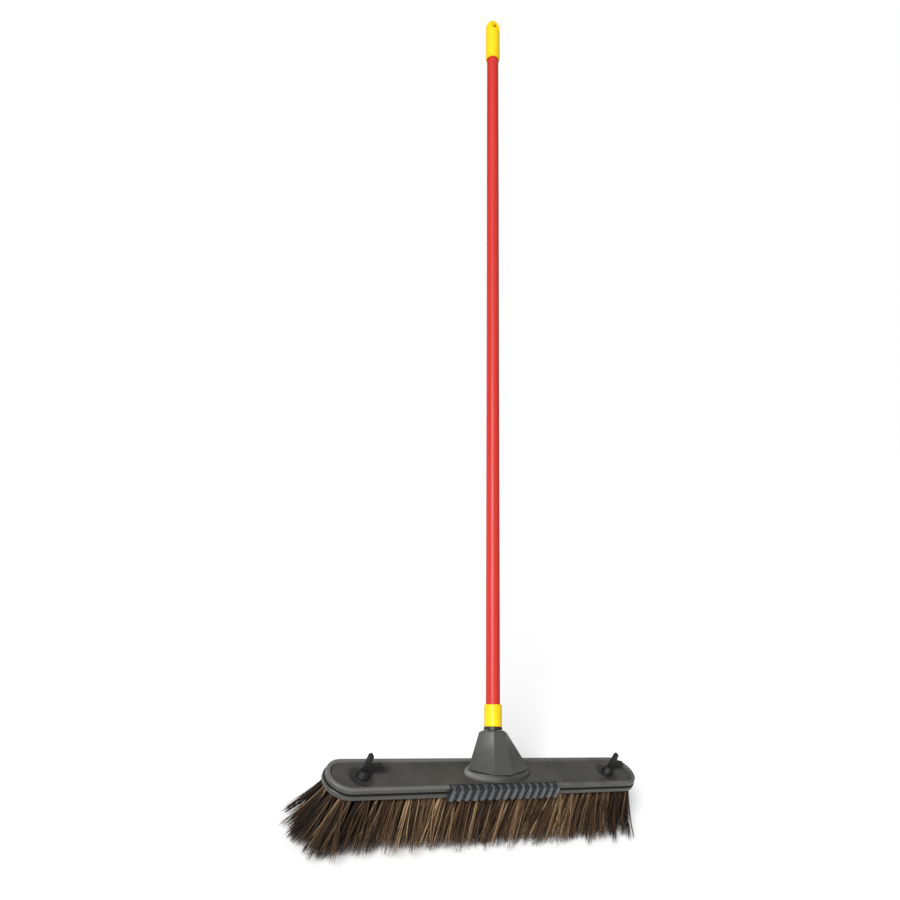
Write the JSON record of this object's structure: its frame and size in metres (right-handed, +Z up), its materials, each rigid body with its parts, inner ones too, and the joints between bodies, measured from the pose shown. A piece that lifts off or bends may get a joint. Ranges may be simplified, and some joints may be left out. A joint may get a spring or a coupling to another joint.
{
  "type": "push broom",
  "caption": "Push broom with a long round-ended head, stiff plant fibre, a ribbed front bumper, two turn locks and a leaning screw-in steel handle with a hang hole.",
  "frame": {"origin": "the middle of the sweeping face, under the middle of the head, where the fibre tips meet the floor", "axes": "X along the head, +Y to the back where the handle leans, +Z up, away from the floor"},
  "size_m": [0.6532, 1.0382, 1.2766],
  "materials": {
    "block_plastic": "satin",
    "connector_plastic": "satin",
    "bumper_rubber": "satin",
    "rivet_metal": "satin",
    "zinc_steel": "satin",
    "knob_plastic": "satin",
    "insert_plastic": "satin",
    "ring_plastic": "satin",
    "yellow_plastic": "gloss",
    "red_enamel": "gloss",
    "plant_fibre": "matte"
  },
  "bodies": {
    "head": {"brush_block": "block_plastic", "top_cover": "block_plastic", "handle_connector": "connector_plastic", "front_bumper": "bumper_rubber", "bumper_rivets": "rivet_metal", "connector_screws": "zinc_steel", "keeper_plates": "zinc_steel", "keeper_screws": "zinc_steel", "knob_washers": "insert_plastic", "socket_insert": "insert_plastic", "tuft_anchors": "zinc_steel", "fibre_row_1": "plant_fibre", "fibre_row_2": "plant_fibre", "fibre_row_3": "plant_fibre", "fibre_row_4": "plant_fibre", "fibre_row_5": "plant_fibre"},
    "ring": {"neck_ring": "ring_plastic"},
    "handle": {"threaded_ferrule": "yellow_plastic", "ferrule_pin": "yellow_plastic", "handle_tube": "red_enamel", "hang_grip": "yellow_plastic"},
    "left_lock": {"left_knob": "knob_plastic", "left_stud": "zinc_steel"},
    "right_lock": {"right_knob": "knob_plastic", "right_stud": "zinc_steel"}
  },
  "joints": [
    {"name": "handle_advance", "type": "slide", "parent": "head", "child": "ring", "axis": [0, 0.6428, 0.766], "range_m": [0, 0.0254]},
    {"name": "handle_turn", "type": "hinge", "parent": "ring", "child": "handle", "pos_m": [0, 0.016, 0.118], "axis": [0, 0.6428, 0.766], "range_deg": [0, 1801]},
    {"name": "left_lock_turn", "type": "hinge", "parent": "head", "child": "left_lock", "pos_m": [-0.245, 0, 0.1115], "axis": [0, 0, 1], "range_deg": [0, 90]},
    {"name": "right_lock_turn", "type": "hinge", "parent": "head", "child": "right_lock", "pos_m": [0.245, 0, 0.1115], "axis": [0, 0, 1], "range_deg": [0, 90]}
  ],
  "couplings": [
    {"joint": "handle_turn", "follows": "handle_advance", "rad_per_m": 1236.8}
  ]
}
